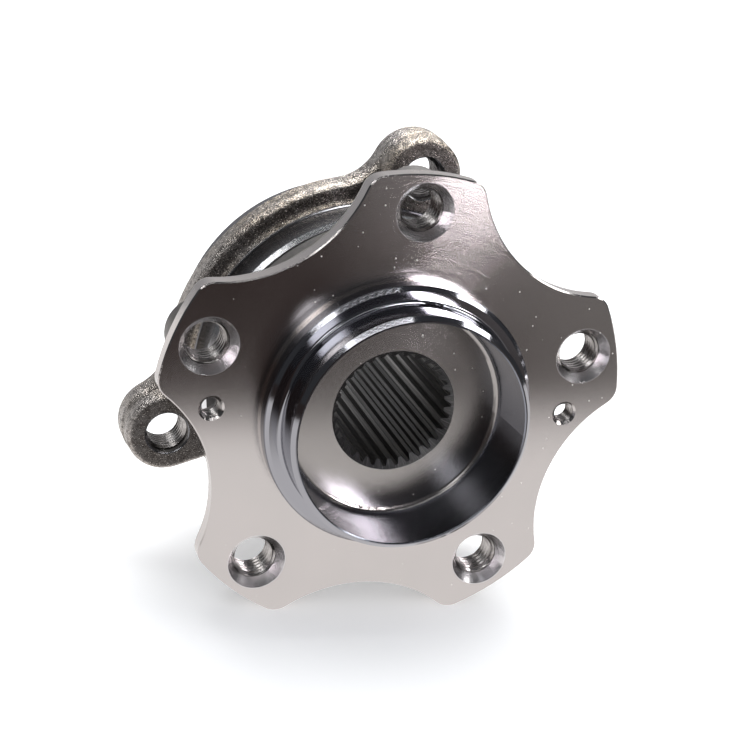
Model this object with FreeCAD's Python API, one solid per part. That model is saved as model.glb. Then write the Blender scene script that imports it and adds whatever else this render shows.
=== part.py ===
import FreeCAD, Part
import os
from math import acos, cos, pi, radians, sin, sqrt

# Driven wheel hub bearing, in millimetres. The bearing axis lies along +Y, from the wheel side to the
# axle side. +Z is up, +X is right from the wheel side, and the origin is the centre of the face that
# the brake disc and the wheel sit on.

# Wheel bolts: five M12 x 1.5 threaded holes with conical mouths. Bores have the thread's outer diameter.
bolt_count = 5
bolt_circle = 112.0
bolt_thread = 12.0
bolt_mouth = 16.05
bolt_mouth_depth = 3.0

# Disc screws: two M6 threaded holes on the flange's level centre line, relieved behind the flange plate
screw_count = 2
screw_circle = 101.6
screw_thread = 6.0
screw_mouth = 7.1
screw_relief = 10.0

# Wheel flange: lobe arcs about the axis, scallops between them, round corners where they meet
lobe_radius = 66.3
scallop_low = 52.2
scallop_radius = 39.2
lobe_corner = 5.5
lobe_clock = 90.0
face_chamfer = 0.35
back_chamfer = 0.6
edge_width = 4.2
flange_thickness = 6.2
flange_draft = 0.7
web_inset = 0.6
web_thickness = 11.3
web_chamfer = 0.8
pad_radius = 9.5
pad_thickness = 12.6
pad_chamfer = 0.8

# Centring pilots in front of the flange, and the cup for the axle nut
disc_pilot = 75.2
disc_pilot_length = 5.9
disc_pilot_chamfer = 1.2
wheel_pilot = 66.5
pilot_length = 16.8
pilot_root = 1.2
rim_chamfer = 1.1
cup_mouth = 63.0
cup_floor = 60.8
cup_corner = 1.6
cup_chamfer = 0.3

# Splined bore for the axle shaft
spline_teeth = 30
spline_tips = 30.6
spline_roots = 33.4
spline_gap_at_tips = 8.6
spline_gap_at_roots = 3.4
bore_mouth = 34.9

# Ball rows: angular contact, the two rows leaning apart towards the axis
ball_count = 14
ball_diameter = 12.7
pitch_diameter = 70.0
contact_angle = 38.0
groove_ratio = 0.52
race_gap = 0.06
high_shoulder = 4.35
low_shoulder = 0.25
row_one = 35.4
row_two = 52.0

# Hub neck and snout, inner ring and the lip rolled over it
neck_round = 8.0
neck_root = 12.5
seat_diameter = 47.0
ring_chamfer = 0.5
lip_root = 1.8
lip_diameter = 56.4
lip_flat = 0.6
lip_round = 3.6

# Outer ring: machined front, forged plate, which is lower in its second gap between lugs, knuckle spigot
ring_front = 22.8
front_diameter = 96.0
front_chamfer = 1.2
root_round = 2.8
root_chamfer = 0.3
plate_radii = (54.2, 50.8, 54.2)
plate_front = 35.2
plate_back = 42.2
plate_round = 2.2
spigot_diameter = 93.0
spigot_chamfer = 1.2
bore_chamfer = 0.3

# Lugs: three threaded holes on the knuckle's bolt circle
lug_count = 3
lug_circle = 116.0
lug_clock = 80.3
lug_radius = 11.7
lug_flares = (14.0, 6.0, 14.0)
lug_front = 29.6
lug_step = 0.4
lug_round = 2.0
lug_sink = 3.0
lug_thread = 12.0
lug_mouth = 12.6

# Cages
cage_clearance = 0.6
cage_wall = 4.3
cage_back = 7.8
cage_reach = 3.4
pocket_gap = 0.2

# Seals at both ends of the outer ring, slinger and encoder
seal_step = 0.4
seal_depth = 5.2
case_sheet = 0.8
case_inset = 0.3
case_length = 3.6
case_inner = 73.0
rubber_sheet = 1.0
lip_reach = 1.9
lip_gap = 0.2
lip_tip = 0.5
slinger_sheet = 0.8
slinger_gap = 0.3
encoder_thickness = 0.9
encoder_inner = 69.0

# Sizes worked out from those above
over = 1.0
touching = 1e-6
full_turn = 360.0
pitch_radius = pitch_diameter / 2
ball_radius = ball_diameter / 2
groove_radius = groove_ratio * ball_diameter
contact = radians(contact_angle)
inner_high = pitch_radius - ball_radius + high_shoulder
inner_low = pitch_radius - ball_radius + low_shoulder
outer_low = pitch_radius + ball_radius - low_shoulder
seal_seat = outer_low + seal_step
ring_back = row_one + row_two - ring_front
inner_split = (row_one + row_two) / 2
inner_end = ring_back - case_inset
snout_end = inner_end + lip_flat + lip_round
bore_lead = (bore_mouth - spline_tips) / 2


def polar(radius, angle, y):
    """Point at a radius and an angle, in degrees, about the bearing axis."""
    return FreeCAD.Vector(radius * cos(radians(angle)), y, radius * sin(radians(angle)))


def bend(centre, radius, first, last):
    """Arc of a turned profile as three points, from its first angle to its last."""
    angles = (first, (first + last) / 2, last)
    return tuple((centre[0] + radius * cos(radians(a)), centre[1] + radius * sin(radians(a))) for a in angles)


def turned(*steps):
    """Solid turned about the Y axis. A step is a point (radius, y), or an arc given by three points."""
    stations = [step if isinstance(step[0], tuple) else (step,) for step in steps]
    here = stations[-1][-1]
    edges = []
    for station in stations:
        start = FreeCAD.Vector(station[0][0], station[0][1], 0)
        if (start - FreeCAD.Vector(here[0], here[1], 0)).Length > touching:
            edges.append(Part.makeLine(FreeCAD.Vector(here[0], here[1], 0), start))
        if len(station) > 1:
            corners = [FreeCAD.Vector(point[0], point[1], 0) for point in station]
            edges.append(Part.Arc(*corners).toShape())
        here = station[-1]
    face = Part.Face(Part.Wire(edges))
    return face.revolve(FreeCAD.Vector(0, 0, 0), FreeCAD.Vector(0, 1, 0), full_turn)


def arc_about(centre, start, end):
    """Arc of less than half a turn about a centre."""
    middle = (start - centre) + (end - centre)
    middle.normalize()
    return Part.Arc(start, centre + middle * (start - centre).Length, end).toShape()


def towards(centre, other, distance):
    """Point at a distance from one centre on the line to another."""
    way = other - centre
    way.normalize()
    return centre + way * distance


def angle_between(side, other_side, opposite):
    """Angle, in degrees, between two sides of a triangle, from its three lengths."""
    return acos((side ** 2 + other_side ** 2 - opposite ** 2) / (2 * side * other_side)) * 180 / pi


def around(count, clock, shape, radius):
    """Copies of a shape, built on the Y axis, spaced evenly on a circle."""
    copies = []
    for number in range(count):
        copy = shape.copy()
        copy.translate(polar(radius, clock + full_turn * number / count, 0))
        copies.append(copy)
    return copies


def groove(row, wall, lean):
    """Race groove from its front edge to its back edge.

    The wall is +1 for the outer ring and -1 inside the balls. The lean is +1 where the high shoulder
    lies on the axle side.
    """
    slack = groove_radius - ball_radius - race_gap
    centre_radius = pitch_radius - wall * slack * cos(contact)
    centre_y = row - lean * slack * sin(contact)
    high = pitch_radius + wall * (ball_radius - high_shoulder)
    low = pitch_radius + wall * (ball_radius - low_shoulder)
    front, back = (low, high) if lean > 0 else (high, low)
    front_y = centre_y - sqrt(groove_radius ** 2 - (front - centre_radius) ** 2)
    back_y = centre_y + sqrt(groove_radius ** 2 - (back - centre_radius) ** 2)
    return (front, front_y), (centre_radius + wall * groove_radius, centre_y), (back, back_y)


def flange_outline(y, inset):
    """Five-lobed outline of the wheel flange, drawn in by an inset."""
    corner = lobe_corner - inset
    corner_out = lobe_radius - inset - corner
    scallop_out = scallop_low + scallop_radius
    hollow = scallop_radius + inset
    swing = angle_between(corner_out, scallop_out, hollow + corner)
    half_pitch = full_turn / bolt_count / 2
    axis = FreeCAD.Vector(0, y, 0)
    edges = []
    for lobe in range(bolt_count):
        middle = lobe_clock + full_turn * lobe / bolt_count
        scallop = polar(scallop_out, middle + half_pitch, y)
        before = polar(corner_out, middle - half_pitch + swing, y)
        after = polar(corner_out, middle + half_pitch - swing, y)
        beyond = polar(corner_out, middle + half_pitch + swing, y)
        rim_start = towards(axis, before, lobe_radius - inset)
        rim_end = towards(axis, after, lobe_radius - inset)
        dip_start = towards(scallop, after, hollow)
        dip_end = towards(scallop, beyond, hollow)
        next_rim = towards(axis, beyond, lobe_radius - inset)
        edges.append(arc_about(axis, rim_start, rim_end))
        edges.append(arc_about(after, rim_end, dip_start))
        edges.append(arc_about(scallop, dip_start, dip_end))
        edges.append(arc_about(beyond, dip_end, next_rim))
    return Part.Wire(edges)


def threaded_bore(thread, mouth, depth, front, back):
    """Tool for a through bore with a conical mouth at its front and a short one at its back."""
    slope = (mouth - thread) / 2 / depth
    return turned(
        (0, front - over),
        (mouth / 2 + slope * over, front - over),
        (thread / 2, front + depth),
        (thread / 2, back - back_chamfer),
        (thread / 2 + back_chamfer + over, back + over),
        (0, back + over),
    )


def spline_tool():
    """Prism whose cross-section has a flat-topped tooth for each gap of the splined bore."""
    points = []
    flare = (spline_gap_at_tips - spline_gap_at_roots) / (spline_roots - spline_tips)
    inside = spline_tips - over
    inside_gap = spline_gap_at_tips + flare * over
    for tooth in range(spline_teeth):
        middle = lobe_clock + full_turn * tooth / spline_teeth
        points.append(polar(inside / 2, middle - inside_gap / 2, -over))
        points.append(polar(spline_roots / 2, middle - spline_gap_at_roots / 2, -over))
        points.append(polar(spline_roots / 2, middle + spline_gap_at_roots / 2, -over))
        points.append(polar(inside / 2, middle + inside_gap / 2, -over))
    points.append(points[0])
    section = Part.Face(Part.makePolygon(points))
    return section.extrude(FreeCAD.Vector(0, snout_end + 2 * over, 0))


def bore_tool():
    """Round bore at the spline tips with a cone at both ends."""
    return turned(
        (0, -over),
        (bore_mouth / 2 + over, -over),
        (spline_tips / 2, bore_lead),
        (spline_tips / 2, snout_end - bore_lead),
        (bore_mouth / 2 + over, snout_end + over),
        (0, snout_end + over),
    )


def hub_core():
    """Turned body of the hub: cup and pilots, web, neck with its race, snout and rolled lip."""
    web_radius = scallop_low - web_inset
    return turned(
        (0, 0),
        bend((cup_floor / 2 - cup_corner, -cup_corner), cup_corner, 90, 0),
        (cup_mouth / 2, cup_chamfer - pilot_length),
        (cup_mouth / 2 + cup_chamfer, -pilot_length),
        (wheel_pilot / 2 - rim_chamfer, -pilot_length),
        (wheel_pilot / 2, rim_chamfer - pilot_length),
        bend((wheel_pilot / 2 + pilot_root, -disc_pilot_length - pilot_root), pilot_root, 180, 90),
        (disc_pilot / 2 - disc_pilot_chamfer, -disc_pilot_length),
        (disc_pilot / 2, disc_pilot_chamfer - disc_pilot_length),
        (disc_pilot / 2, 0),
        (web_radius, 0),
        (web_radius, web_thickness - web_chamfer),
        (web_radius - web_chamfer, web_thickness),
        bend((inner_high + neck_round, neck_root + neck_round), neck_round, 270, 180),
        groove(row_one, -1, -1),
        (inner_low, inner_split - ring_chamfer),
        (inner_low - ring_chamfer, inner_split),
        (seat_diameter / 2, inner_split),
        bend((seat_diameter / 2 + lip_root, inner_end - lip_root), lip_root, 180, 90),
        (lip_diameter / 2, inner_end),
        bend((lip_diameter / 2 - lip_round, inner_end + lip_flat), lip_round, 0, 90),
        (0, snout_end),
    )


def flange_plate():
    """Lobed plate: chamfered face, straight rim, then forging draft to the back."""
    return Part.makeLoft(
        [
            flange_outline(0, face_chamfer),
            flange_outline(face_chamfer, 0),
            flange_outline(edge_width, 0),
            flange_outline(flange_thickness, flange_draft),
        ],
        True,
        True,
    )


def bolt_pads():
    """Thickened seat behind each wheel-bolt hole."""
    pad = turned(
        (0, web_thickness / 2),
        (pad_radius, web_thickness / 2),
        (pad_radius, pad_thickness - pad_chamfer),
        (pad_radius - pad_chamfer, pad_thickness),
        (0, pad_thickness),
    )
    return around(bolt_count, lobe_clock, pad, bolt_circle / 2)


def hub_flange():
    """Flanged hub with its bolt holes, screw holes and splined bore."""
    body = hub_core().multiFuse([flange_plate()] + bolt_pads())
    bolt_bore = threaded_bore(bolt_thread, bolt_mouth, bolt_mouth_depth, 0, pad_thickness)
    screw_lead = (screw_mouth - screw_thread) / 2
    screw_bore = threaded_bore(screw_thread, screw_mouth, screw_lead, 0, flange_thickness)
    relief = Part.makeCylinder(
        screw_relief / 2, web_thickness, FreeCAD.Vector(0, flange_thickness, 0), FreeCAD.Vector(0, 1, 0)
    )
    tools = around(bolt_count, lobe_clock, bolt_bore, bolt_circle / 2)
    tools += around(screw_count, 0, screw_bore, screw_circle / 2)
    tools += around(screw_count, 0, relief, screw_circle / 2)
    tools.append(bore_tool())
    tools.append(spline_tool())
    return body.cut(tools).removeSplitter()


def inner_ring():
    """Inboard inner ring, pressed on the snout and held by the rolled lip."""
    bore = seat_diameter / 2
    return turned(
        (bore, inner_split),
        (inner_low - ring_chamfer, inner_split),
        (inner_low, inner_split + ring_chamfer),
        groove(row_two, -1, 1),
        (inner_high, inner_end - ring_chamfer),
        (inner_high - ring_chamfer, inner_end),
        bend((bore + lip_root, inner_end - lip_root), lip_root, 90, 180),
    )


def ring_core():
    """Turned body of the outer ring: front, root of the plate, spigot, seal seats and both races."""
    root = front_diameter / 2 + root_round
    rim = root + root_chamfer
    return turned(
        (seal_seat + bore_chamfer, ring_front),
        (front_diameter / 2 - front_chamfer, ring_front),
        (front_diameter / 2, ring_front + front_chamfer),
        bend((root, plate_front - root_round), root_round, 180, 90),
        (rim, plate_front + root_chamfer),
        (rim, plate_back),
        (spigot_diameter / 2, plate_back),
        (spigot_diameter / 2, ring_back - spigot_chamfer),
        (spigot_diameter / 2 - spigot_chamfer, ring_back),
        (seal_seat + bore_chamfer, ring_back),
        (seal_seat, ring_back - bore_chamfer),
        (seal_seat, ring_back - seal_depth),
        (outer_low, ring_back - seal_depth),
        groove(row_two, 1, -1)[::-1],
        groove(row_one, 1, 1)[::-1],
        (outer_low, ring_front + seal_depth),
        (seal_seat, ring_front + seal_depth),
        (seal_seat, ring_front + bore_chamfer),
    )


def flare_centre(gap, middle, side):
    """Centre of the arc by which a lug flares into the plate, towards the gap on one side of it."""
    out = plate_radii[gap] + lug_flares[gap]
    swing = angle_between(out, lug_circle / 2, lug_radius + lug_flares[gap])
    return polar(out, middle + side * swing, plate_front)


def lug_plate():
    """Forged plate: a disc with three lugs that flare into it, and a round front edge."""
    lug_out = lug_circle / 2
    axis = FreeCAD.Vector(0, plate_front, 0)
    edges = []
    for lug in range(lug_count):
        middle = lug_clock + full_turn * lug / lug_count
        centre = polar(lug_out, middle, plate_front)
        before = flare_centre(lug - 1, middle, -1)
        after = flare_centre(lug, middle, 1)
        beyond = flare_centre(lug, middle + full_turn / lug_count, -1)
        start = towards(before, centre, lug_flares[lug - 1])
        end = towards(after, centre, lug_flares[lug])
        tip = polar(lug_out + lug_radius, middle, plate_front)
        leave = towards(axis, after, plate_radii[lug])
        arrive = towards(axis, beyond, plate_radii[lug])
        edges.append(arc_about(before, towards(axis, before, plate_radii[lug - 1]), start))
        edges.append(Part.Arc(start, tip, end).toShape())
        edges.append(arc_about(after, end, leave))
        edges.append(arc_about(axis, leave, arrive))
    plate = Part.Face(Part.Wire(edges)).extrude(FreeCAD.Vector(0, plate_back - plate_front, 0))
    front_edges = [edge for edge in plate.Edges if edge.BoundBox.YMax < plate_front + touching]
    return plate.makeFillet(plate_round, front_edges)


def lug_bosses():
    """Raised front of each lug, straight-sided, running into the ring's wall."""
    half = lug_radius - lug_step
    near = front_diameter / 2 - lug_sink
    far = lug_circle / 2
    corners = [
        FreeCAD.Vector(near, lug_front, -half),
        FreeCAD.Vector(far, lug_front, -half),
        FreeCAD.Vector(far + half, lug_front, 0),
        FreeCAD.Vector(far, lug_front, half),
        FreeCAD.Vector(near, lug_front, half),
    ]
    sides = [
        Part.makeLine(corners[0], corners[1]),
        Part.Arc(corners[1], corners[2], corners[3]).toShape(),
        Part.makeLine(corners[3], corners[4]),
        Part.makeLine(corners[4], corners[0]),
    ]
    middle_of_plate = (plate_front + plate_back) / 2
    boss = Part.Face(Part.Wire(sides)).extrude(FreeCAD.Vector(0, middle_of_plate - lug_front, 0))
    rim = [
        edge
        for edge in boss.Edges
        if edge.BoundBox.YMax < lug_front + touching and edge.BoundBox.XMax > near + touching
    ]
    boss = boss.makeFillet(lug_round, rim)
    bosses = []
    for lug in range(lug_count):
        copy = boss.copy()
        turn = lug_clock + full_turn * lug / lug_count
        copy.rotate(FreeCAD.Vector(0, 0, 0), FreeCAD.Vector(0, 1, 0), -turn)
        bosses.append(copy)
    return bosses


def outer_ring():
    """Stationary outer ring with its lugs and races."""
    wall = front_diameter / 2
    blank = lug_plate().multiFuse(lug_bosses())
    hollow = Part.makeCylinder(
        wall - lug_sink, ring_back, FreeCAD.Vector(0, 0, 0), FreeCAD.Vector(0, 1, 0)
    )
    body = blank.cut(hollow).fuse(ring_core())
    lead = (lug_mouth - lug_thread) / 2
    bore = threaded_bore(lug_thread, lug_mouth, lead, lug_front, plate_back)
    return body.cut(around(lug_count, lug_clock, bore, lug_circle / 2)).removeSplitter()


def row_of_balls(radius, row, clock):
    """Spheres of a radius in the places of one row's balls, with their poles on spokes of the row."""
    spheres = []
    for number in range(ball_count):
        spoke = clock + full_turn * number / ball_count
        spheres.append(Part.makeSphere(radius, polar(pitch_radius, spoke, row), polar(1, spoke, 0)))
    return spheres


def cage(row, side, clock):
    """Snap cage: a ring behind the balls, on the given side, with fingers round each ball."""
    front = row + side * cage_back
    back = row - side * cage_reach
    inside = inner_high + cage_clearance
    outside = inside + cage_wall
    ring = turned(
        (inside, min(front, back)),
        (outside, min(front, back)),
        (outside, max(front, back)),
        (inside, max(front, back)),
    )
    return ring.cut(row_of_balls(ball_radius + pocket_gap, row, clock))


def mirrored(points):
    """Profile points of the wheel-side seal, carried over to the axle side."""
    return [(radius, ring_front + ring_back - y) for radius, y in points]


def case_points():
    """Profile of the wheel-side seal case: a sleeve in the ring's bore and a flange towards the neck."""
    mouth = ring_front + case_inset
    foot = mouth + case_length
    return [
        (seal_seat, mouth),
        (seal_seat, foot),
        (case_inner / 2, foot),
        (case_inner / 2, foot - case_sheet),
        (seal_seat - case_sheet, foot - case_sheet),
        (seal_seat - case_sheet, mouth),
    ]


def outboard_seal_case():
    """Steel stiffener of the wheel-side seal."""
    return turned(*case_points())


def inboard_seal_case():
    """Steel stiffener of the axle-side seal."""
    return turned(*mirrored(case_points()))


def seal_rubber(land):
    """Profile of a seal's rubber: a skin bonded to the case, a dust lip and a grease lip."""
    bond = ring_front + case_inset + case_length - case_sheet
    tip = land + lip_gap
    heel = case_inner / 2
    return [
        (seal_seat - case_sheet, bond),
        (seal_seat - case_sheet, bond - rubber_sheet),
        (heel, bond - rubber_sheet),
        (tip + rubber_sheet, bond - lip_reach),
        (tip, bond - lip_reach),
        (tip, bond - lip_reach + lip_tip),
        (heel - rubber_sheet - lip_tip, bond - rubber_sheet / 2),
        (tip, bond + case_sheet - lip_tip),
        (tip, bond + case_sheet),
        (tip + lip_tip, bond + case_sheet),
        (heel - lip_tip, bond),
    ]


def outboard_seal_lip():
    """Rubber of the wheel-side seal, with its lips at the hub's neck."""
    return turned(*seal_rubber(inner_high))


def inboard_seal_lip():
    """Rubber of the axle-side seal, with its lips at the slinger's sleeve."""
    return turned(*mirrored(seal_rubber(inner_high + slinger_sheet)))


def inboard_slinger():
    """Steel slinger: a sleeve pressed on the inner ring and a flange that covers the seal."""
    bond = ring_back - case_inset - case_length
    face = ring_back
    rim = seal_seat - case_sheet - slinger_gap
    return turned(
        (inner_high, bond),
        (inner_high, face),
        (rim, face),
        (rim, face - slinger_sheet),
        (inner_high + slinger_sheet, face - slinger_sheet),
        (inner_high + slinger_sheet, bond),
    )


def encoder_ring():
    """Magnetised rubber ring bonded to the slinger's outer face."""
    rim = seal_seat - case_sheet - slinger_gap
    return turned(
        (encoder_inner / 2, ring_back),
        (encoder_inner / 2, ring_back + encoder_thickness),
        (rim, ring_back + encoder_thickness),
        (rim, ring_back),
    )


inboard_clock = lobe_clock + full_turn / ball_count / 2
nodes = {
    "hub_flange": hub_flange(),
    "inner_ring": inner_ring(),
    "outer_ring": outer_ring(),
    "outboard_cage": cage(row_one, -1, lobe_clock),
    "inboard_cage": cage(row_two, 1, inboard_clock),
    "outboard_seal_case": outboard_seal_case(),
    "outboard_seal_lip": outboard_seal_lip(),
    "inboard_seal_case": inboard_seal_case(),
    "inboard_seal_lip": inboard_seal_lip(),
    "inboard_slinger": inboard_slinger(),
    "encoder_ring": encoder_ring(),
}
for number, shape in enumerate(row_of_balls(ball_radius, row_one, lobe_clock)):
    nodes["outboard_ball_%02d" % (number + 1)] = shape
for number, shape in enumerate(row_of_balls(ball_radius, row_two, inboard_clock)):
    nodes["inboard_ball_%02d" % (number + 1)] = shape

os.makedirs("parts", exist_ok=True)
for name, shape in nodes.items():
    shape.exportStep("parts/" + name + ".step")
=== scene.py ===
from math import pi, radians

import bpy
from mathutils import Matrix, Quaternion, Vector


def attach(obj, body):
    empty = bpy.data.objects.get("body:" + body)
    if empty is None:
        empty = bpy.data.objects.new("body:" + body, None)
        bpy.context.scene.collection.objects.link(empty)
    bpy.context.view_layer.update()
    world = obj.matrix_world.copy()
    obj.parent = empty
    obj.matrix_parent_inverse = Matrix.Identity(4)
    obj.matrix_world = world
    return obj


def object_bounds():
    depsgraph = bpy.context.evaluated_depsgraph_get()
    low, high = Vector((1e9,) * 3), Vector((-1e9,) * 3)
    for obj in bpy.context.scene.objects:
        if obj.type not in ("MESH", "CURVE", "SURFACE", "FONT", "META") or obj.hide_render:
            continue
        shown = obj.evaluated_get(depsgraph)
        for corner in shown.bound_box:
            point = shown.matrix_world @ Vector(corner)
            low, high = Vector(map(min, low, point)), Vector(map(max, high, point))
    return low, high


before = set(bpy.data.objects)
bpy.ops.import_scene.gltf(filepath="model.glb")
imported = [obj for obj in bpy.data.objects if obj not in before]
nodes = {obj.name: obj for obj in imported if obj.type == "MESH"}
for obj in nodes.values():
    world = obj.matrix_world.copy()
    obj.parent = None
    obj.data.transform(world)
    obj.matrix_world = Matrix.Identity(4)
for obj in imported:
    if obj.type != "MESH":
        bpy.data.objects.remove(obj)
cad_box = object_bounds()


# Camera
# Stands to the left of the hub and above it, close enough for the near pilot to look large. It is rolled
# so that the lobe at twelve o'clock leans to the right, as in the photograph.
scene = bpy.context.scene
camera_place = (-0.16554, -0.41551, 0.17426)
camera_turn = (radians(69.5507), radians(-8.2139), radians(-17.8337))
camera_lens = 85.066
camera_sensor = 36.0
camera_near = 0.01

bpy.ops.object.camera_add(location=camera_place, rotation=camera_turn)
camera = bpy.context.object
camera.name = "camera"
camera.data.sensor_width = camera_sensor
camera.data.lens = camera_lens
camera.data.clip_start = camera_near
scene.camera = camera


# Studio
# White paper on a dark table, with a white wall behind. The paper's front edge is out of the picture, where
# only the steel mirrors it.
# Paper, table and wall are glowing planes, not lamps. The camera sees white paper, which also glows more with
# distance, and a white wall.
# The steel's reflections and matt things see painted light: the paper near white, the table very dark on the
# left and grey on the right, and the wall darker on the left than on the right. One large soft box lights the
# paper. Six lamps show in the steel alone: a tall box on the right, a small one on the left, two thin strips,
# a box far right and one overhead.
class Signal:
    """One output of a node. Sums of signals add the nodes that work them out."""

    def __init__(self, tree, socket=None):
        self.tree = tree
        self.socket = socket

    def node(self, kind, settings=(), inputs=(), output=0):
        """Output of a new node, whose settings are made first and then its values and links."""
        made = self.tree.nodes.new("ShaderNode" + kind)
        for name, value in dict(settings).items():
            setattr(made, name, value)
        for name, value in dict(inputs).items():
            if isinstance(value, Signal):
                self.tree.links.new(value.socket, made.inputs[name])
            else:
                made.inputs[name].default_value = value
        return Signal(self.tree, made.outputs[output] if made.outputs else None)

    def maths(self, operation, *values):
        return self.node("Math", {"operation": operation}, enumerate(values))

    def vector(self, operation, *values):
        return self.node("VectorMath", {"operation": operation}, enumerate(values))

    def __add__(self, other):
        return self.maths("ADD", self, other)

    __radd__ = __add__

    def __sub__(self, other):
        return self.maths("SUBTRACT", self, other)

    def __rsub__(self, other):
        return self.maths("SUBTRACT", other, self)

    def __mul__(self, other):
        return self.maths("MULTIPLY", self, other)

    __rmul__ = __mul__

    def __truediv__(self, other):
        return self.maths("DIVIDE", self, other)

    def __pow__(self, other):
        return self.maths("POWER", self, other)

    def rise(self, low, high):
        """0 below the low value, 1 above the high one, and a smooth step between them."""
        span = {"Value": self, "From Min": low, "From Max": high}
        return self.node("MapRange", {"interpolation_type": "SMOOTHSTEP"}, span)

    def fall(self, low, high):
        """1 below the low value and 0 above the high one."""
        return 1.0 - self.rise(low, high)

    def mixed(self, low, high):
        """Colour between two, by this signal."""
        colours = [value if isinstance(value, Signal) else (*value, 1.0) for value in (low, high)]
        return self.node("Mix", {"data_type": "RGBA"}, {0: self, 6: colours[0], 7: colours[1]}, 2)

    def grey(self):
        """Grey of this brightness."""
        return self.node("CombineColor", inputs={0: self, 1: self, 2: self})

    def axes(self):
        """The x, y and z of a place or a direction."""
        return [self.node("SeparateXYZ", inputs={0: self}, output=axis) for axis in range(3)]

    def noise(self, place, scale, detail=2.0, rough=0.5, kind="3D"):
        """Noise from 0 to 1, with its middle at a half. A 1D noise takes a number as its place."""
        entry = "W" if kind == "1D" else "Vector"
        values = {entry: place, "Scale": scale, "Detail": detail, "Roughness": rough}
        return self.node("TexNoise", {"noise_dimensions": kind}, values)

    def raised(self, strength, depth, normal=None):
        """Normal of a surface on which this signal is the height."""
        inputs = {"Strength": strength, "Distance": depth, "Height": self}
        if normal is not None:
            inputs["Normal"] = normal
        return self.node("Bump", inputs=inputs)

    def surface(self, inputs, kind="BsdfPrincipled"):
        """Ends a material's tree in one surface."""
        self.node("OutputMaterial", inputs={"Surface": self.node(kind, inputs=inputs)})


def clean_tree(owner):
    """The empty node tree of a material or world."""
    owner.use_nodes = True
    owner.node_tree.nodes.clear()
    return owner.node_tree


def new_finish(name):
    """A new material, the signal that its nodes start from, and the place on the piece."""
    material = bpy.data.materials.new(name)
    here = Signal(clean_tree(material))
    return material, here, here.node("TexCoord", output="Object")


sheet_size = 3.0
sheet_level = cad_box[0].z
sheet_edge = -0.136
sheet_slant = 0.08
sheet_fade = 0.034
sheet_glow = 0.32
far_glow = 0.60
glow_spread = (0.02, 0.90)
sheet_white = 0.91
fibre_scale = 60.0
fibre_depth = 0.02
sheet_mirrored = (0.97, 0.95, 0.94)
table_right = (0.20, 0.19, 0.185)
table_left = (0.042, 0.032, 0.030)
table_change = (0.10, 0.17)

bpy.ops.object.select_all(action="DESELECT")
bpy.ops.mesh.primitive_plane_add(size=sheet_size, location=(0, 0, sheet_level))
sheet = bpy.context.object
sheet.name = "paper_sheet"
bpy.ops.object.transform_apply(location=True, rotation=True, scale=True)

paper, here, spot = new_finish("white_paper")
x, y, z = spot.axes()
straight = here.node("LightPath", output="Is Camera Ray")
on_sheet = (y + x * sheet_slant).rise(sheet_edge - sheet_fade, sheet_edge + sheet_fade)
# Painted light: for all but the camera the paper glows near white, and the table beyond its front edge glows
# very dark on the left and grey on the right.
table_glow_tone = x.rise(*table_change).mixed(table_left, table_right)
mirrored = on_sheet.mixed(table_glow_tone, sheet_mirrored)
glow = (x * x + y * y).rise(*glow_spread) * far_glow + sheet_glow
fibre = (here.noise(spot, scale=fibre_scale) * fibre_depth + sheet_white) * straight
here.surface(
    {
        "Base Color": fibre.grey(),
        "Roughness": 0.9,
        "Specular IOR Level": 0.0,
        "Emission Color": straight.mixed(mirrored, glow.grey()),
        "Emission Strength": 1.0,
    }
)
sheet.data.materials.append(paper)

wall_place = (0, 1.45, 0.60)
wall_left = (0.34, 0.34, 0.35)
wall_right = (0.58, 0.57, 0.57)
wall_change = (-0.7, 0.7)
wall_glow = 1.1

bpy.ops.object.select_all(action="DESELECT")
bpy.ops.mesh.primitive_plane_add(size=sheet_size, location=wall_place, rotation=(radians(90), 0, 0))
wall = bpy.context.object
wall.name = "paper_wall"
bpy.ops.object.transform_apply(location=True, rotation=True, scale=True)
wall.visible_shadow = False

backing, here, spot = new_finish("paper_wall")
x, y, z = spot.axes()
straight = here.node("LightPath", output="Is Camera Ray")
# Painted light: for all but the camera the wall glows darker on the left than on the right.
wall_glow_tone = x.rise(*wall_change).mixed(wall_left, wall_right)
here.surface({"Color": straight.mixed(wall_glow_tone, (1, 1, 1)), "Strength": wall_glow}, "Emission")
wall.data.materials.append(backing)

room_light = (0.9, 0.94, 1.0, 1.0)
room_on_paper = 0.50
room_on_steel = 0.06
backdrop_glow = 1.05

world = scene.world or bpy.data.worlds.new("studio")
scene.world = world
here = Signal(clean_tree(world))
straight = here.node("LightPath", output="Is Camera Ray")
on_matt = here.node("LightPath", output="Is Diffuse Ray")
backdrop = here.node("Background", inputs={"Color": (1, 1, 1, 1), "Strength": backdrop_glow})
room_glow = on_matt * room_on_paper + room_on_steel
room = here.node("Background", inputs={"Color": room_light, "Strength": room_glow})
around_us = here.node("MixShader", inputs={0: straight, 1: room, 2: backdrop})
here.node("OutputWorld", inputs={"Surface": around_us})
world.cycles.sampling_method = "NONE"


def soft_box(name, place, width, height, watts, on_steel=True, roll=0.0):
    """Area lamp that faces the hub. It shows in the steel alone, or lights only what is matt."""
    bpy.ops.object.light_add(type="AREA", location=place)
    lamp = bpy.context.object
    lamp.name = name
    lamp.data.shape = "RECTANGLE"
    lamp.data.size = width
    lamp.data.size_y = height
    lamp.data.energy = watts
    facing = (-Vector(place)).to_track_quat("-Z", "Y")
    lamp.rotation_euler = (facing @ Quaternion((0, 0, 1), roll)).to_euler()
    lamp.visible_diffuse = not on_steel
    lamp.visible_glossy = on_steel
    return lamp


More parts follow.
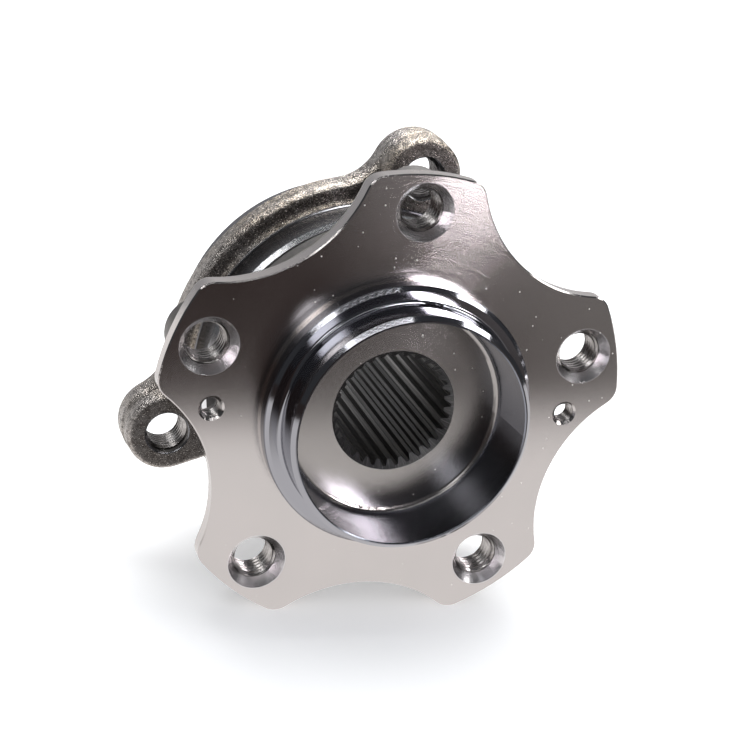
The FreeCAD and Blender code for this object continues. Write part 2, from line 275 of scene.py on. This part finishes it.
right_box = soft_box("right_box", (0.386, -0.757, 0.150), width=0.15, height=0.34, watts=3.4)
right_box.data.color = (1.0, 0.94, 0.98)
soft_box("left_box", (-0.30, -0.80, 0.27), width=0.19, height=0.19, watts=0.46)
soft_box("front_strip", (-0.244, -0.460, 0.854), width=0.86, height=0.03, watts=0.40, roll=radians(38.7))
soft_box("side_strip", (-0.630, -0.407, 0.660), width=0.30, height=0.05, watts=0.35, roll=radians(59.4))
soft_box("far_right_box", (0.72, -0.17, 0.58), width=0.26, height=0.26, watts=1.6)
soft_box("top_box", (0.14, 0.28, 0.90), width=0.55, height=0.45, watts=13.0)
soft_box("paper_box", (0.135, 0.417, 0.90), width=1.10, height=1.10, watts=12.3, on_steel=False)


# Hub forging
# Medium-carbon steel forging, turned all over on the wheel side. The face has the fine rings of the
# turning tool, the pilots and the cup are turned finer and shine, and the bore is broached.
mm = 0.001
bolt_reach = 56.0 * mm
bolt_first = pi / 2
bolt_count = 5

# Radii, each with the width over which one finish gives way to the next
bore_edge = (17.2 * mm, 17.5 * mm)
cup_floor_edge = (30.0 * mm, 31.0 * mm)
cup_floor_fillet = (27.0 * mm, 28.0 * mm)
cup_wall_start = (29.0 * mm, 30.5 * mm)
cup_edge = (31.8 * mm, 32.0 * mm)
disc_wall_start = (37.2 * mm, 37.5 * mm)
pilot_edge = (37.9 * mm, 38.0 * mm)
back_start = (36.0 * mm, 40.0 * mm)
bolt_mouth = (8.1 * mm, 8.15 * mm)
thread_wall = (6.02 * mm, 6.10 * mm)

# Depths from the wheel face, in the same way
pilot_foot = (-1.7 * mm, -1.2 * mm)
cup_wall_end = (-1.0 * mm, -0.6 * mm)
dusty_depth = (0.2 * mm, 0.5 * mm)
sink_depth = (3.0 * mm, 3.2 * mm)
flange_back = (4.15 * mm, 4.35 * mm)
neck_start = (6.3 * mm, 6.6 * mm)
neck_end = (13.0 * mm, 13.5 * mm)

hub_colour = (0.62, 0.585, 0.575)
dull_colour = (0.60, 0.57, 0.56)
# Painted shade: the cup floor is a darker grey than the face, for the shade at the bottom of the cup.
cup_floor_shade_colour = (0.42, 0.40, 0.39)
polished_colour = (0.38, 0.38, 0.41)
# Painted shade: the splined bore is near black, for the shade deep in the bore. The lighter stripes on it are
# the broaching marks.
bore_shade_colour = (0.15, 0.148, 0.148)
broached_colour = (0.55, 0.54, 0.53)
back_colour = (0.44, 0.42, 0.41)
# Painted shade: the wall of the disc pilot is a dark bluish grey, for the shade on it.
disc_wall_shade_colour = (0.17, 0.17, 0.19)
# Painted shade: the wall inside the cup is a dark bluish grey, for the shade in the cup.
cup_wall_shade_colour = (0.27, 0.28, 0.32)
# Painted shade: the neck between the flange and the outer ring is near black, for the shade in that gap.
neck_shade_colour = (0.18, 0.175, 0.17)
# Painted light: the countersinks are a near-white grey, brighter than the rest of the turned steel, for the
# light that falls in them.
sink_light_colour = (0.78, 0.76, 0.77)
# Painted shade: the walls of the wheel-bolt holes are near black, for the shade inside them.
thread_wall_shade_colour = (0.10, 0.095, 0.09)
worn_colour = (0.30, 0.28, 0.27)
dust_colour = (0.92, 0.91, 0.88)
turned_rough = 0.125

# Slopes of the tool marks, and how the bore's scratches and the dust are spread
face_swing = 0.70
polished_swing = 0.10
broad_swing = 0.005
bore_calm = 0.85
broach_share = (0.56, 0.70)
worn_share = 0.5
dust_scale = 190.0
dust_drift = 2.2
dusty_lots = (0.62, 0.95)
speck_radius = 0.040
speck_rim = 0.01


def finish_on(owner, material):
    """Puts one material in all of a piece's slots."""
    owner.data.materials.clear()
    owner.data.materials.append(material)


def nearest_hole(here, x, z, first, count, reach):
    """The x and z of the nearest hole of a bolt circle, and the distance to it."""
    clock = here.maths("ARCTAN2", z, x)
    step = 2 * pi / count
    turn = here.maths("FLOOR", (clock - first) / step + 0.5) * step + first
    hole_x = here.maths("COSINE", turn) * reach
    hole_z = here.maths("SINE", turn) * reach
    return hole_x, hole_z, ((x - hole_x) ** 2.0 + (z - hole_z) ** 2.0) ** 0.5


def turned_normal(here, x, z, swing):
    """Normal tipped outwards from an axis at x and z, by a slope that changes from ring to ring."""
    outward = here.vector("NORMALIZE", here.node("CombineXYZ", inputs={0: x, 2: z}))
    upright = here.node("NewGeometry", output="Normal")
    along_ring = here.node(
        "VectorTransform",
        {"vector_type": "VECTOR", "convert_from": "OBJECT", "convert_to": "WORLD"},
        {0: here.vector("CROSS_PRODUCT", (0, 1, 0), outward)},
    )
    across = here.vector("NORMALIZE", here.vector("CROSS_PRODUCT", upright, along_ring))
    slope = here.node("VectorMath", {"operation": "SCALE"}, {0: across, "Scale": swing})
    return here.vector("NORMALIZE", here.vector("ADD", upright, slope))


hub_steel, here, spot = new_finish("turned_hub_steel")
x, y, z = spot.axes()
bolt_x, bolt_z, from_bolt = nearest_hole(here, x, z, bolt_first, bolt_count, bolt_reach)
out = (x * x + z * z) ** 0.5
in_bolt = from_bolt.fall(*bolt_mouth)
ring_x = x - bolt_x * in_bolt
ring_z = z - bolt_z * in_bolt
feed = (ring_x * ring_x + ring_z * ring_z) ** 0.5 - y

in_bore = out.fall(*bore_edge)
in_cup = out.fall(*cup_edge)
on_pilot = out.fall(*pilot_edge) * y.fall(*pilot_foot)
behind = y.rise(*flange_back) * out.rise(*back_start) * (1.0 - in_bolt)
polished = here.maths("MAXIMUM", on_pilot * (1.0 - in_cup), in_bolt)
in_thread = in_bolt * from_bolt.fall(*thread_wall)
in_sink = in_bolt * (1.0 - in_thread) * y.fall(*sink_depth)
cup_wall = in_cup * out.rise(*cup_wall_start) * y.fall(*cup_wall_end)
disc_wall = on_pilot * out.rise(*disc_wall_start)
on_neck = y.rise(*neck_start) * y.fall(*neck_end) * (1.0 - in_bolt)
on_cup_floor = out.fall(*cup_floor_edge) * y.rise(*pilot_foot)

fine_rings = here.noise(feed, scale=200000.0, detail=3.0, rough=0.7, kind="1D")
broad_rings = here.noise(feed, scale=700.0, detail=2.0, rough=0.5, kind="1D")
patches = here.noise(spot, scale=45.0, detail=3.0)
grit = here.noise(spot, scale=900.0, detail=4.0, rough=0.7)
clock = here.maths("ARCTAN2", z, x)
broach_lines = here.noise(clock, scale=90.0, detail=3.0, rough=0.7, kind="1D").rise(*broach_share)
tool_swing = polished * (polished_swing - face_swing) + face_swing
swing = (fine_rings - 0.5) * tool_swing + (broad_rings - 0.5) * broad_swing
swing = swing * (1.0 - behind) * (1.0 - in_bore * bore_calm)

dust_place = {"Vector": here.node("CombineXYZ", inputs={0: x, 1: z}), "Scale": dust_scale}
flat_cells = {"voronoi_dimensions": "2D", "feature": "F1"}
from_speck = here.node("TexVoronoi", flat_cells, dust_place, "Distance")
speck_lot = here.node("SeparateColor", inputs={0: here.node("TexVoronoi", flat_cells, dust_place, "Color")})
speck_size = (speck_lot + (x + z) * dust_drift).rise(*dusty_lots) * speck_radius
on_wall = here.maths("MAXIMUM", on_pilot, in_cup * out.rise(*cup_floor_fillet))
dusty = y.fall(*dusty_depth) * (1.0 - in_bore) * (1.0 - on_wall)
dust = (speck_size - from_speck).rise(0.0, speck_rim) * dusty

tone = patches.rise(0.3, 0.7).mixed(dull_colour, hub_colour)
for mask, colour in (
    (on_cup_floor, cup_floor_shade_colour),
    (polished, polished_colour),
    (in_bore, broach_lines.mixed(bore_shade_colour, broached_colour)),
    (behind, back_colour),
    (disc_wall, disc_wall_shade_colour),
    (cup_wall, cup_wall_shade_colour),
    (on_neck, neck_shade_colour),
    (in_sink, sink_light_colour),
    (in_thread, thread_wall_shade_colour),
    (grit.rise(0.35, 0.65) * behind * worn_share, worn_colour),
    (dust, dust_colour),
):
    tone = mask.mixed(tone, colour)
rough = turned_rough + (patches - 0.5) * 0.04 - polished * 0.03
for mask, rougher in (
    (in_bore, 0.30),
    (behind, 0.32),
    (in_sink, 0.17),
    (disc_wall, 0.12),
    (in_cup * (1.0 - in_bore), 0.06),
    (dust, 0.75),
):
    rough = rough + mask * rougher
turned = turned_normal(here, ring_x, ring_z, swing)
relief = (grit * behind).raised(strength=0.5, depth=0.12 * mm, normal=turned)
here.surface({"Base Color": tone, "Metallic": 1.0, "Roughness": rough, "Normal": relief})
finish_on(nodes["hub_flange"], hub_steel)


# Outer ring forging
# The ring that is bolted to the knuckle. Its plate and lugs keep the shot-blasted skin of the forging,
# and its front, its spigot and the face behind the plate are turned.
lug_reach = 58.0 * mm
lug_first = radians(80.3)
lug_count = 3
forged_edge = (48.2 * mm, 48.8 * mm)
plate_back = (42.05 * mm, 42.15 * mm)
ring_front = (23.9 * mm, 24.0 * mm)
lug_hole = (6.3 * mm, 6.4 * mm)

# Painted shade: the turned faces and the spigot of the ring are a dark grey, for the shade on them.
ring_turned_shade_colour = (0.27, 0.27, 0.285)
# Painted highlight: the front face of the ring is near white, for the bright reflection on it.
ring_front_highlight_colour = (0.85, 0.86, 0.88)
forged_colour = (0.50, 0.47, 0.45)
stained_colour = (0.48, 0.42, 0.35)
# Painted shade: where the forged skin faces the wheel side it is near black, for the shade on those faces.
front_shade_colour = (0.085, 0.078, 0.076)
pit_colour = (0.06, 0.05, 0.045)
# Painted glints: light specks in the forged skin, for the sparkle of the shot-blasted surface.
glint_colour = (0.80, 0.75, 0.70)
# Painted shade: the walls of the lug holes are near black, for the shade inside them.
lug_bore_shade_colour = (0.07, 0.065, 0.06)
ring_rough = 0.26
ring_swing = 0.14
front_shade_share = 0.85
pitted_share = 0.6
glint_share = 0.8

ring_steel, here, spot = new_finish("forged_ring_steel")
x, y, z = spot.axes()
lug_x, lug_z, from_lug = nearest_hole(here, x, z, lug_first, lug_count, lug_reach)
out = (x * x + z * z) ** 0.5
in_lug = from_lug.fall(*lug_hole)
forged = out.rise(*forged_edge) * y.fall(*plate_back) * (1.0 - in_lug)
on_front = y.fall(*ring_front)
# Painted shade: forged faces whose normal looks towards the wheel side are made darker.
facing = here.node("NewGeometry", output="Normal").axes()[1]
front_facing_shade = (facing * -1.0).rise(0.80, 0.97)

fine_rings = here.noise(out - y, scale=8000.0, detail=3.0, rough=0.7, kind="1D")
pits = here.noise(spot, scale=2300.0, detail=3.0, rough=0.7)
scale_marks = here.noise(spot, scale=700.0, detail=3.0, rough=0.6)
glint_specks = here.noise(spot, scale=2600.0, detail=2.0, rough=0.6)
dents = here.noise(spot, scale=180.0, detail=3.0, rough=0.5)
stain = here.noise(spot, scale=55.0, detail=4.0, rough=0.6)
swing = (fine_rings - 0.5) * ring_swing * (1.0 - forged)

skin = stain.rise(0.35, 0.68).mixed(forged_colour, stained_colour)
skin = (front_facing_shade * front_shade_share).mixed(skin, front_shade_colour)
skin = (scale_marks.rise(0.52, 0.40) * pitted_share).mixed(skin, pit_colour)
# Painted glints: light specks scattered over the forged skin.
skin = (glint_specks.rise(0.60, 0.68) * glint_share).mixed(skin, glint_colour)
tone = forged.mixed(ring_turned_shade_colour, skin)
tone = from_lug.fall(*thread_wall).mixed(tone, lug_bore_shade_colour)
tone = on_front.mixed(tone, ring_front_highlight_colour)
rough = ring_rough + forged * (pits - 0.55) * 0.4 - on_front * 0.06
dented = (pits + scale_marks * 0.45 + dents * 0.12) * forged
turned = turned_normal(here, x - lug_x * in_lug, z - lug_z * in_lug, swing)
relief = dented.raised(strength=1.0, depth=0.30 * mm, normal=turned)
here.surface({"Base Color": tone, "Metallic": 1.0, "Roughness": rough, "Normal": relief})
finish_on(nodes["outer_ring"], ring_steel)


# Threads of the wheel-bolt, disc-screw and lug holes
# Cut into the walls of the bores: right-hand metric threads, whose ridges stand in from the bore's wall.
# The conical mouth of a hole cuts the first ridge away.
def ridge(name, root, crest, pitch, start, end, front, mouth, mouth_depth):
    """One right-hand thread on the Y axis, from its start to its end, cut by the hole's conical mouths."""
    base = pitch * 0.875
    crest_flat = pitch * 0.25
    sunk = 0.05 * mm
    steps_a_turn = 40
    bpy.ops.object.select_all(action="DESELECT")
    bpy.ops.mesh.primitive_plane_add(size=1.0, location=(0, 0, 0))
    thread = bpy.context.object
    thread.name = name
    bpy.ops.object.mode_set(mode="EDIT")
    bpy.ops.mesh.delete(type="ONLY_FACE")
    bpy.ops.mesh.select_all(action="SELECT")
    bpy.ops.transform.resize(value=(root + sunk - crest, base, 1.0), center_override=(0, 0, 0))
    bpy.ops.transform.translate(value=((root + sunk + crest) / 2, start, 0))
    bpy.ops.object.mode_set(mode="OBJECT")
    for corner in thread.data.vertices:
        corner.select = corner.co.x < (root + crest) / 2
    for edge in thread.data.edges:
        edge.select = all(thread.data.vertices[v].select for v in edge.vertices)
    bpy.ops.object.mode_set(mode="EDIT")
    bpy.ops.transform.resize(value=(1.0, crest_flat / base, 1.0), center_override=(crest, start, 0))
    bpy.ops.object.mode_set(mode="OBJECT")
    sweep = thread.modifiers.new("sweep", "SCREW")
    sweep.axis = "Y"
    sweep.angle = 2 * pi
    sweep.screw_offset = pitch
    sweep.iterations = round((end - start) / pitch)
    sweep.steps = sweep.render_steps = steps_a_turn
    sweep.use_merge_vertices = True
    sweep.merge_threshold = 1e-6
    sweep.use_smooth_shade = False
    bpy.ops.object.modifier_apply(modifier=sweep.name)
    bpy.ops.object.mode_set(mode="EDIT")
    bpy.ops.mesh.select_all(action="SELECT")
    bpy.ops.mesh.fill_holes(sides=4)
    bpy.ops.mesh.select_all(action="SELECT")
    bpy.ops.mesh.normals_make_consistent(inside=False)
    bpy.ops.object.mode_set(mode="OBJECT")

    # The front mouth is the hole's own, and the back one a plain chamfer
    beyond = 3.0 * mm
    past_crest = 0.5 * mm
    blunt_tip = 0.1 * mm
    chamfer = 0.6 * mm
    for place, way, wide, depth in (
        (front, 1, mouth, mouth_depth),
        (end, -1, root + chamfer, chamfer),
    ):
        slope = (wide - root) / depth
        reach_in = (root - crest) / slope + past_crest
        long = beyond + depth + reach_in
        bpy.ops.mesh.primitive_cone_add(
            vertices=64,
            radius1=wide + slope * beyond,
            radius2=max(root - slope * reach_in, blunt_tip),
            depth=long,
            location=(0, place + way * (depth + reach_in - long / 2), 0),
            rotation=(radians(-90 * way), 0, 0),
        )
        cutter = bpy.context.object
        bpy.ops.object.transform_apply(location=True, rotation=True, scale=True)
        bpy.ops.object.select_all(action="DESELECT")
        thread.select_set(True)
        bpy.context.view_layer.objects.active = thread
        cut = thread.modifiers.new("mouth", "BOOLEAN")
        cut.operation = "DIFFERENCE"
        cut.object = cutter
        bpy.ops.object.modifier_apply(modifier=cut.name)
        bpy.data.objects.remove(cutter)
    bpy.ops.object.shade_smooth_by_angle(angle=radians(35))
    return thread


thread_steel, here, spot = new_finish("cut_thread_steel")
grain = here.noise(spot, scale=2500.0, detail=3.0)
smear = here.noise(spot, scale=400.0, detail=2.0)
tone = smear.rise(0.35, 0.65).mixed((0.36, 0.34, 0.33), (0.56, 0.54, 0.53))
rough = 0.16 + smear * 0.16
relief = grain.raised(strength=0.4, depth=0.05 * mm)
here.surface({"Base Color": tone, "Metallic": 1.0, "Roughness": rough, "Normal": relief})


def spread(thread, kind, body, count, first, reach):
    """Copies of a thread on a bolt circle, each with its own mesh, its place and the body that it rides on."""
    for number in range(count):
        angle = first + 2 * pi * number / count
        copy = thread if number == count - 1 else thread.copy()
        if copy is not thread:
            copy.data = thread.data.copy()
            scene.collection.objects.link(copy)
        copy.data.transform(Matrix.Rotation(-angle, 4, "Y") @ Matrix.Translation((reach, 0, 0)))
        copy.name = "%s_%02d" % (kind, number + 1)
        finish_on(copy, thread_steel)
        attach(copy, body)


bolt_ridge = ridge(
    "bolt_thread",
    root=6.0 * mm,
    crest=5.2 * mm,
    pitch=1.5 * mm,
    start=1.2 * mm,
    end=12.6 * mm,
    front=0.0,
    mouth=8.025 * mm,
    mouth_depth=3.0 * mm,
)
spread(bolt_ridge, "bolt_thread", "hub", bolt_count, bolt_first, bolt_reach)

screw_reach = 50.8 * mm
screw_first = 0.0
screw_count = 2
screw_ridge = ridge(
    "screw_thread",
    root=3.0 * mm,
    crest=2.46 * mm,
    pitch=1.0 * mm,
    start=0.3 * mm,
    end=6.2 * mm,
    front=0.0,
    mouth=3.55 * mm,
    mouth_depth=0.55 * mm,
)
spread(screw_ridge, "screw_thread", "hub", screw_count, screw_first, screw_reach)

lug_ridge = ridge(
    "lug_thread",
    root=6.0 * mm,
    crest=5.2 * mm,
    pitch=1.5 * mm,
    start=32.2 * mm,
    end=42.2 * mm,
    front=31.2 * mm,
    mouth=6.6 * mm,
    mouth_depth=0.6 * mm,
)
spread(lug_ridge, "lug_thread", "outer", lug_count, lug_first, lug_reach)


# Inner ring and balls
# Through-hardened bearing steel, ground and lapped. The inner ring is pressed on the hub's snout, and
# the balls run between it, the hub and the outer ring. Only slivers of them show, at the back.
ground_steel, here, spot = new_finish("ground_bearing_steel")
x, y, z = spot.axes()
out = (x * x + z * z) ** 0.5
fine_rings = here.noise(out - y, scale=12000.0, detail=2.0, rough=0.6, kind="1D")
clouds = here.noise(spot, scale=80.0, detail=3.0)
tone = clouds.rise(0.3, 0.7).mixed((0.56, 0.56, 0.57), (0.64, 0.64, 0.65))
rough = 0.10 + clouds * 0.10
ground = turned_normal(here, x, z, (fine_rings - 0.5) * 0.15)
here.surface({"Base Color": tone, "Metallic": 1.0, "Roughness": rough, "Normal": ground})
finish_on(nodes["inner_ring"], ground_steel)

ball_steel, here, spot = new_finish("lapped_ball_steel")
film = here.noise(spot, scale=200.0, detail=2.0)
tone = film.mixed((0.70, 0.70, 0.71), (0.78, 0.78, 0.79))
here.surface({"Base Color": tone, "Metallic": 1.0, "Roughness": 0.04 + film * 0.06})
for name, piece in nodes.items():
    if "_ball_" in name:
        finish_on(piece, ball_steel)


# Cages
# Glass-filled nylon, moulded in one piece, in its natural ivory colour with a faint fibre grain. Each
# snaps over its row of balls.
nylon, here, spot = new_finish("cage_nylon")
fibre = here.noise(spot, scale=1800.0, detail=3.0)
flow = here.noise(spot, scale=120.0, detail=2.0)
tone = flow.mixed((0.72, 0.65, 0.50), (0.80, 0.74, 0.60))
rough = 0.45 + fibre * 0.15
relief = fibre.raised(strength=0.3, depth=0.05 * mm)
here.surface({"Base Color": tone, "Roughness": rough, "Normal": relief})
for name in ("outboard_cage", "inboard_cage"):
    finish_on(nodes[name], nylon)


# Seals and slinger
# Pressed sheet-steel cases with black nitrile rubber bonded on. The slinger is pressed on the inner
# ring and carries the magnetised ring that a wheel-speed sensor reads.
sheet_steel, here, spot = new_finish("pressed_sheet_steel")
drawn = here.noise(spot, scale=250.0, detail=3.0)
tone = drawn.rise(0.3, 0.7).mixed((0.40, 0.41, 0.42), (0.55, 0.55, 0.56))
rough = 0.24 + drawn * 0.16
relief = drawn.raised(strength=0.25, depth=0.03 * mm)
here.surface({"Base Color": tone, "Metallic": 1.0, "Roughness": rough, "Normal": relief})
for name in ("outboard_seal_case", "inboard_seal_case", "inboard_slinger"):
    finish_on(nodes[name], sheet_steel)


def rubber(name, dark, light, roughness):
    """Moulded rubber with a fine matt grain and a dusty bloom."""
    material, here, spot = new_finish(name)
    grain = here.noise(spot, scale=2500.0, detail=3.0)
    bloom = here.noise(spot, scale=90.0, detail=3.0)
    tone = bloom.rise(0.4, 0.8).mixed(dark, light)
    rough = roughness + grain * 0.15
    relief = grain.raised(strength=0.3, depth=0.04 * mm)
    here.surface({"Base Color": tone, "Roughness": rough, "Normal": relief})
    return material


seal_rubber = rubber("seal_rubber", (0.018, 0.018, 0.018), (0.045, 0.044, 0.042), 0.42)
for name in ("outboard_seal_lip", "inboard_seal_lip"):
    finish_on(nodes[name], seal_rubber)
encoder_rubber = rubber("encoder_rubber", (0.030, 0.029, 0.030), (0.060, 0.057, 0.055), 0.50)
finish_on(nodes["encoder_ring"], encoder_rubber)

scene.view_settings.view_transform = "Standard"
